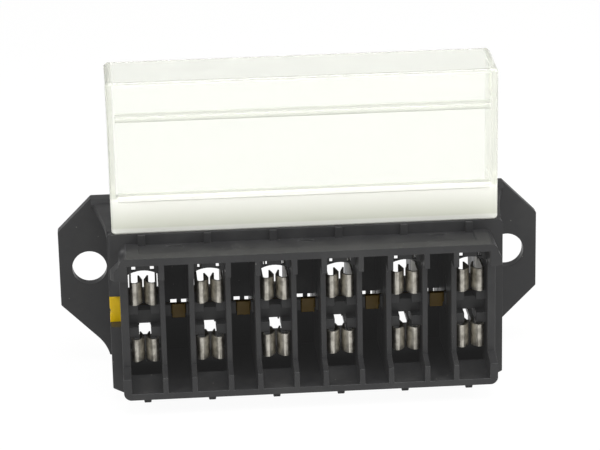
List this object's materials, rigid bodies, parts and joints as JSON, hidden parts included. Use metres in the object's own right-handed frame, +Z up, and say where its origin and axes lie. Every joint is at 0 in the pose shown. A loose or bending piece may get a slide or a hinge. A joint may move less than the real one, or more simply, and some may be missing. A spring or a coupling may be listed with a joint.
{
  "type": "automotive blade fuse box",
  "caption": "Bulkhead fuse box for blade fuses: an open row of fuse cells with paired spring terminals, a side terminal lock, two mounting ears and a clear cover that stands on top.",
  "frame": {"origin": "on the back plane of the two mounting ears, midway between their holes", "axes": "+X to the right seen from the fuse side, +Y from the fuse side to the mounting face, +Z up"},
  "size_m": [0.1166, 0.0395, 0.0791],
  "materials": {
    "housing_plastic": "black moulded nylon, fine satin",
    "clear_plastic": "clear polycarbonate, polished",
    "lock_plastic": "yellow moulded plastic, satin",
    "tinned_strip": "tinned copper alloy strip, soft sheen"
  },
  "bodies": {
    "box": {"housing": "housing_plastic", "upper_terminal_1": "tinned_strip", "upper_terminal_2": "tinned_strip", "upper_terminal_3": "tinned_strip", "upper_terminal_4": "tinned_strip", "upper_terminal_5": "tinned_strip", "upper_terminal_6": "tinned_strip", "lower_terminal_1": "tinned_strip", "lower_terminal_2": "tinned_strip", "lower_terminal_3": "tinned_strip", "lower_terminal_4": "tinned_strip", "lower_terminal_5": "tinned_strip", "lower_terminal_6": "tinned_strip"},
    "cover": {"cover": "clear_plastic"},
    "terminal_lock": {"terminal_lock": "lock_plastic"}
  },
  "joints": [
    {"name": "cover_lift", "type": "slide", "parent": "box", "child": "cover", "axis": [0, 0, 1], "range_m": [0, 0.05]},
    {"name": "lock_pull", "type": "slide", "parent": "box", "child": "terminal_lock", "axis": [-1, 0, 0], "range_m": [0, 0.007]}
  ]
}
